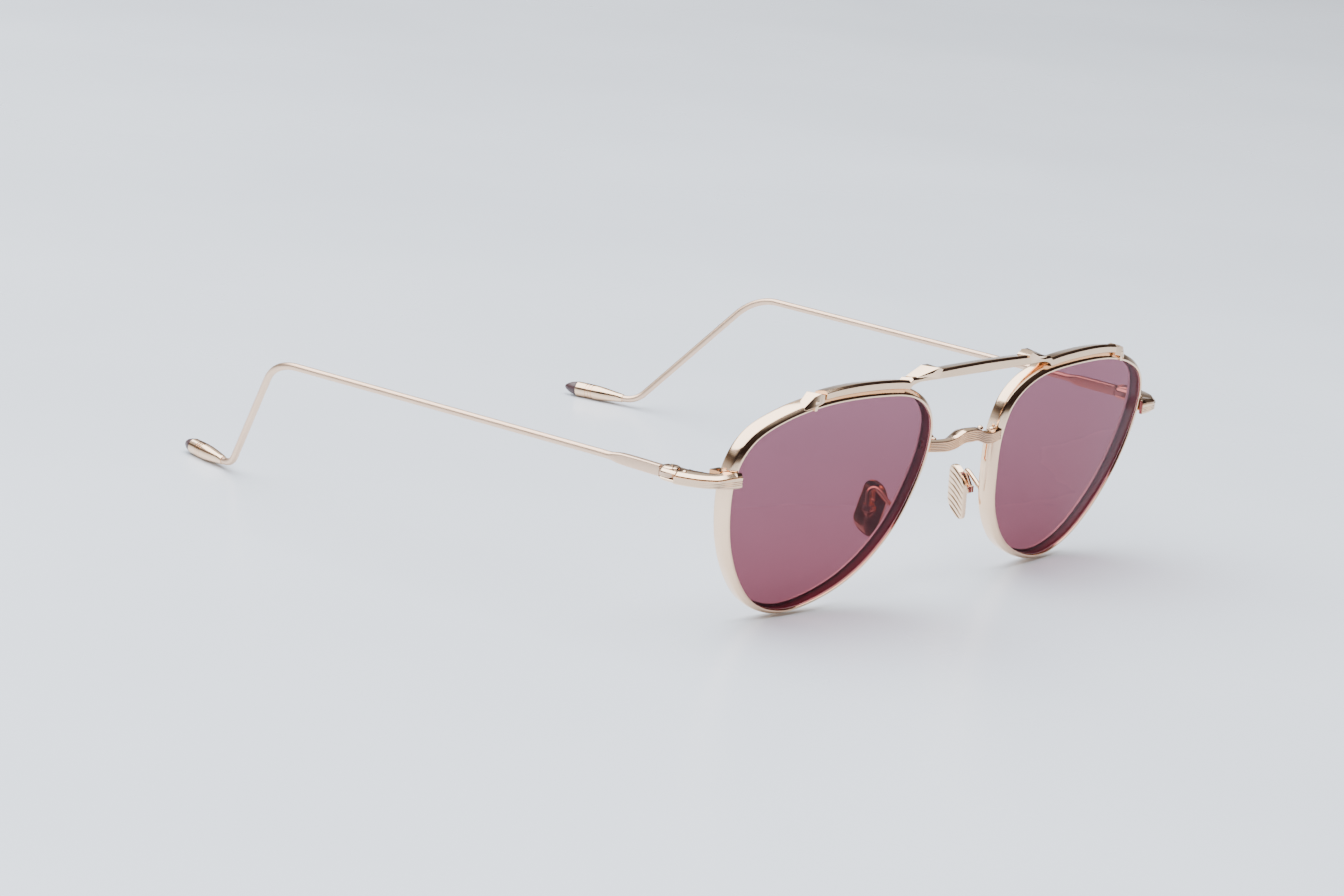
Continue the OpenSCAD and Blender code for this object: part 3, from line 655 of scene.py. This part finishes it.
# distance behind the hinge, x shift, width, height, corner
root_rows = np.array([
    (2.5, 0, 1.35, 2.05, 0.25), (2.7, 0, 1.4, 2.15, 0.3), (8, 0.04, 1.45, 2.15, 0.32),
    (11.4, 0.1, 1.5, 2.05, 0.36), (12.9, 0.2, 1.5, 1.78, 0.5), (14.3, 0.28, 1.46, 1.48, 0.68),
    (16.6, 0.36, 1.44, 1.44, 0.71), (18.5, 0.38, 1.40, 1.40, 0.69),
])
rings = []
for back, shift, w, h, corner in smooth_path(root_rows, 4):
    drop = 0.011 * max(0, back - 13)
    section = rounded(w, h, min(corner, w / 2 - 0.01))
    rings.append(np.array([HINGE + (shift + x, back, z - drop) for x, z in section]))
root = skin(rings)
tongue_line = [(-0.62, 3.0), (-0.62, 1.7)]
tongue_line += [(TONGUE_R * math.cos(t), TONGUE_R * math.sin(t))
                for t in np.linspace(1.95, 2 * math.pi + 1.2, 30)]
tongue_line += [(0.62, 1.7), (0.62, 3.0)]
tongue = skin([np.array([HINGE + (x, y, z) for x, y in tongue_line[::-1]])
               for z in (-TONGUE_T / 2, TONGUE_T / 2)])
path = bent_path([root_end - (0.02, 0.5, 0), ear, heel, sleeve_at + 6 * tail], [12, 6])
for side, mirror in (("left", False), ("right", True)):
    points, faces = merged(root, tongue, wire(path, WIRE_D / 2, SATIN))
    temple = solid(f"temple_{side}_drawn", points, faces, f"temple_body_{side}", f"temple_{side}",
                   smooth=45, mirror=mirror)
    temple.data.materials.append(SATIN)

# ---------------------------------------------------------------------------------------
# Tips. A turned sleeve is crimped over each wire's end: a long taper, three fine rings, a
# plain land, and a dark burgundy cap plugged into its end.
# ---------------------------------------------------------------------------------------

SLEEVE_R, SLEEVE_LEN = 1.62, 11.6
RINGS, RING_AT, RING_PITCH, RING_DEEP = 3, 7.4, 0.75, 0.12
taper = [(0.5, 0.0), (0.8, 0.0), (0.88, 0.12), (1.02, 0.9), (1.28, 3.0), (1.52, 5.2), (1.6, 6.4)]
band = []
for k in range(RINGS):
    z = RING_AT + RING_PITCH * k
    band += [(SLEEVE_R, z - 0.2), (SLEEVE_R - RING_DEEP, z - 0.13),
             (SLEEVE_R - RING_DEEP, z + 0.13), (SLEEVE_R, z + 0.2)]
band += [(SLEEVE_R, SLEEVE_LEN - 0.12), (1.55, SLEEVE_LEN - 0.02), (1.3, SLEEVE_LEN), (0.0001, SLEEVE_LEN)]
cap_line = [(0.0001, -0.02), (1.5, -0.02), (1.53, 0.08), (1.46, 0.6), (1.3, 1.3), (1.06, 2.0), (0.76, 2.6),
            (0.42, 3.06), (0.2, 3.24), (0.0001, 3.3)]


FLATS, FLAT_DEEP, FLAT_END = 4, 0.09, 7.6


def flatted(points):
    """Presses four shallow flats along the taper, fading out at the rings."""
    rel = points - sleeve_at
    along = rel @ tail
    sideways = np.cross(tail, (0, 0, 1))
    a = np.arctan2(rel[:, 2], rel @ sideways)
    fade = np.clip(1 - along / FLAT_END, 0, 1) * np.clip(along / 1.5, 0, 1)
    pinch = 1 - FLAT_DEEP * fade * (0.5 + 0.5 * np.cos(FLATS * a))
    axis_points = sleeve_at + along[:, None] * tail
    return axis_points + (points - axis_points) * pinch[:, None]


def cap_plastic():
    f = Finish("burgundy cap")
    swirl = f.noise(700.0, 3.0)
    dark = f.node("ShaderNodeMix", {"data_type": "RGBA"},
                  {"Factor": swirl, 6: (0.035, 0.013, 0.014, 1), 7: (0.07, 0.028, 0.03, 1)}, out=2)
    scuff = f.node("ShaderNodeBump", {}, {"Strength": 0.05, "Distance": 0.00003, "Height": swirl})
    return f.end(f.node("ShaderNodeBsdfPrincipled", {}, {
        "Base Color": dark, "Roughness": swirl * 0.15 + 0.3, "Coat Weight": 0.1, "Normal": scuff,
    }))


CAP_FINISH = cap_plastic()
for side, mirror in (("left", False), ("right", True)):
    points, faces = turned([*smooth_path(taper, 5), *band], 64, sleeve_at, tail)
    sleeve = solid(f"tip_sleeve_{side}_turned", flatted(points), faces, f"temple_body_{side}",
                   f"tip_sleeve_{side}", smooth=32, mirror=mirror)
    sleeve.data.materials.append(POLISH)
    points, faces = turned(cap_line, 40, sleeve_at + tail * SLEEVE_LEN, tail)
    cap = solid(f"tip_cap_{side}_moulded", points, faces, f"temple_body_{side}", f"tip_cap_{side}",
                smooth=50, mirror=mirror)
    cap.data.materials.append(CAP_FINISH)

# ---------------------------------------------------------------------------------------
# Nose pads. Solid metal plates with rounded corners, a polished edge and slanting ribs
# pressed into the face. An oval boss and an ear stand on the back.
# ---------------------------------------------------------------------------------------

PAD_W, PAD_H, PAD_T, PAD_CORNER = 5.5, 9.8, 1.1, 2.2
PAD_RIBS, PAD_SLANT, RIB_DEEP = 8, 0.34, 0.17
PIVOT_X, EAR_R = PAD_T + 1.3, 0.65
pad_at = np.array((EYE_GAP / 2 + 1.15, 9.4, LENS[2] - 5))
pad_turn = np.array(Matrix.Rotation(math.radians(-20), 3, "Z")
                    @ Matrix.Rotation(math.radians(-10), 3, "Y")
                    @ Matrix.Rotation(math.radians(11), 3, "X"))


def at_pad(points):
    return np.asarray(points, float) @ pad_turn.T + pad_at


def half_width(up):
    past = abs(up) - (PAD_H / 2 - PAD_CORNER)
    if past <= 0:
        return PAD_W / 2
    return PAD_W / 2 - PAD_CORNER + math.sqrt(max(PAD_CORNER**2 - past**2, 0))


rings = []
for up in np.sin(np.linspace(-math.pi / 2, math.pi / 2, 161)) * PAD_H / 2:
    w = half_width(up)
    thin = min(1.0, w / 1.2)
    wave = (up / PAD_H * PAD_RIBS) % 1.0
    cut = 0.02 + RIB_DEEP * thin * max(0.0, 1 - abs(wave - 0.5) * 4.2)
    ring = [(0.3, -w), (0.08, -0.95 * w), (cut, -0.86 * w), (cut, -0.3 * w), (cut, 0.3 * w), (cut, 0.86 * w),
            (0.08, 0.95 * w), (0.3, w), (PAD_T - 0.3, w), (PAD_T - 0.06, 0.93 * w), (PAD_T, 0.82 * w),
            (PAD_T, -0.82 * w), (PAD_T - 0.06, -0.93 * w), (PAD_T - 0.3, -w)]
    rings.append(np.array([(x, y, up + PAD_SLANT * y - 0.05 * y * y) for x, y in ring]))
pad_plate = skin(rings)
boss_line = [(0.0001, -0.1), (1.5, -0.1), (1.5, 0.25), (1.42, 0.36), (1.0, 0.4), (0.0001, 0.4)]
boss = turned(boss_line, 40, (0, 0, 0), (1, 0, 0))
boss = (boss[0] * (1, 0.8, 1.15) + (PAD_T, 0, 0), boss[1])
ear_line = [(PAD_T - 0.1, -EAR_R)]
ear_line += [(PIVOT_X + EAR_R * math.cos(t), EAR_R * math.sin(t))
             for t in np.linspace(-math.pi / 2, math.pi / 2, 16)]
ear_line += [(PAD_T - 0.1, EAR_R)]
pad_ear = skin([np.array([(x, y, z) for x, z in ear_line]) for y in (-0.4, 0.4)])

for side, mirror in (("left", False), ("right", True)):
    points, faces = merged(pad_plate, boss, pad_ear)
    pad = solid(f"nose_pad_{side}_ribbed", at_pad(points), faces, f"pad_body_{side}", f"nose_pad_{side}",
                smooth=30, mirror=mirror)
    pad.data.materials.append(POLISH)

# ---------------------------------------------------------------------------------------
# Pad arms. A wire soldered to the rim's back loops over the pad's top and ends in a small
# square box, whose two cheeks hold the pad's ear on a cross screw.
# ---------------------------------------------------------------------------------------

ARM_D, BOX_IN, BOX_OUT = 0.9, PIVOT_X - 0.45, PIVOT_X + 0.85
BOX_W, BOX_H, CHEEK_T = 1.68, 1.4, 0.4
root_k = eye_step(8.6)
arm_root = on_face(eye_line[root_k] + RIM_WALL * 0.5 * eye_out[root_k], RIM_DEPTH - 0.4)[0]
arm_path = bent_path([arm_root, at_pad((2.3, 1.8, 5.1)), at_pad((BOX_OUT + 0.1, 0, 0.4))], [1.1])


def box(low, high):
    """A block between two corners."""
    xs, ys, zs = zip(low, high)
    return hulled([(x, y, z) for x in xs for y in ys for z in zs])


for side, mirror in (("left", False), ("right", True)):
    blocks = [box((BOX_IN, low, -BOX_H / 2), (BOX_OUT, low + CHEEK_T, BOX_H / 2))
              for low in (-BOX_W / 2, BOX_W / 2 - CHEEK_T)]
    blocks.append(box((BOX_OUT - 0.05, -BOX_W / 2, -BOX_H / 2), (BOX_OUT + 0.45, BOX_W / 2, BOX_H / 2)))
    held = [(at_pad(p), f) for p, f in blocks]
    points, faces = merged(wire(arm_path, ARM_D / 2, POLISH, 24), *held)
    arm = solid(f"pad_arm_{side}_bent", points, faces, "front", f"pad_arm_{side}",
                bevel=0.08, smooth=35, mirror=mirror)
    arm.data.materials.append(POLISH)
    cross = turned([(0.0001, -0.86), (0.28, -0.86), (0.28, 0.84), (0.5, 0.84), (0.5, 1.0)]
                   + [(r, 1.0 + h) for r, h in dome(0.48, 0.14)], 28, (PIVOT_X, 0, 0), (0, -1, 0))
    screw = solid(f"pad_screw_{side}_turned", at_pad(cross[0]), cross[1], "front", f"pad_screw_{side}",
                  smooth=35, mirror=mirror)
    screw.data.materials.append(POLISH)

# ---------------------------------------------------------------------------------------
# Camera, light and floor: a pale, slightly glossy floor under a wide soft lamp. The dim
# walls of the room draw dark lines along the polished metal.
# ---------------------------------------------------------------------------------------

eye_at = Vector((-631.0, -459.4 - ORIGIN_Y, 208.5)) * MM
ahead = Vector((0.7449, 0.6257, -0.2314)).normalized()
across = ahead.cross(Vector((0, 0, 1))).normalized()
above = across.cross(ahead)
roll = math.radians(5.74)
right = math.cos(roll) * across + math.sin(roll) * above
up = -math.sin(roll) * across + math.cos(roll) * above
camera_data = bpy.data.cameras.new("camera")
camera_data.lens = 113.5
camera_data.sensor_width = 36.0
camera_data.clip_start = 0.02
camera_data.clip_end = 30
camera = bpy.data.objects.new("camera", camera_data)
bpy.context.collection.objects.link(camera)
turn = Matrix((right, up, -ahead)).transposed().to_4x4()
camera.matrix_world = Matrix.Translation(eye_at) @ turn
bpy.context.scene.camera = camera

SOFTBOX_AT, SOFTBOX_W, SOFTBOX_L = Vector((-0.55, 0.55, 1.15)), 2.4, 2.6
softbox = bpy.data.lights.new("overhead softbox", "AREA")
softbox.shape = "RECTANGLE"
softbox.size = SOFTBOX_W
softbox.size_y = SOFTBOX_L
softbox.energy = 105
softbox.color = (0.91, 0.95, 1)
hung = bpy.data.objects.new("overhead softbox", softbox)
bpy.context.collection.objects.link(hung)
hung.matrix_world = Matrix.Translation(SOFTBOX_AT)

# The room: dark above a pale horizon towards the front, and pale higher up towards the back
room = Finish("room", bpy.data.worlds)
bpy.context.scene.world = room.owner
way = room.node("ShaderNodeTexCoord", {}, {}, out="Generated")
level = room.node("ShaderNodeSeparateXYZ", {}, {"Vector": way}, out="Z")
depth = room.node("ShaderNodeSeparateXYZ", {}, {"Vector": way}, out="Y")
level = room.node("ShaderNodeMapRange", {}, {"Value": level, "From Min": -1.0, "From Max": 1.0})
depth = room.node("ShaderNodeMapRange", {}, {"Value": depth, "From Min": -0.05, "From Max": 0.55})
front_wall = room.node("ShaderNodeValToRGB", {"stops": [
    (0.0, (0.5, 0.5, 0.52)), (0.5, (0.4, 0.4, 0.41)), (0.54, (0.06, 0.05, 0.05)),
    (0.62, (0.03, 0.02, 0.02)), (0.86, (0.04, 0.03, 0.03)), (0.94, (1.0, 1.0, 1.0)),
]}, {"Fac": level})
back_wall = room.node("ShaderNodeValToRGB", {"stops": [
    (0.0, (0.75, 0.77, 0.8)), (0.53, (0.72, 0.73, 0.75)), (0.59, (0.2, 0.17, 0.15)),
    (0.65, (0.06, 0.04, 0.035)), (0.69, (0.75, 0.74, 0.73)), (0.76, (1.0, 1.0, 1.0)),
]}, {"Fac": level})
walls = room.node("ShaderNodeMix", {"data_type": "RGBA"},
                  {"Factor": depth, 6: front_wall, 7: back_wall}, out=2)
room.end(room.node("ShaderNodeBackground", {}, {"Color": walls}), "ShaderNodeOutputWorld")

bpy.ops.mesh.primitive_plane_add(size=8)
floor = bpy.context.active_object
floor.name = "floor"
floor.location.z = -0.0001
f = Finish("pale stone floor")
mottle = f.noise(6.0, 5.0)
tone = f.node("ShaderNodeMix", {"data_type": "RGBA"},
              {"Factor": mottle, 6: (0.68, 0.72, 0.79, 1), 7: (0.80, 0.845, 0.905, 1)}, out=2)
floor.data.materials.append(f.end(f.node("ShaderNodeBsdfPrincipled", {}, {
    "Base Color": tone, "Roughness": 0.22 + mottle * 0.1, "Specular IOR Level": 0.4})))

# ---------------------------------------------------------------------------------------
# Rim locks, lock screws and hinge washers. They are small turned or milled brass pieces,
# half hidden behind the end pieces, that keep their CAD shapes and take the same plating.
# ---------------------------------------------------------------------------------------

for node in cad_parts.values():
    if node.hide_render:
        continue
    node.data.materials.clear()
    node.data.materials.append(POLISH)
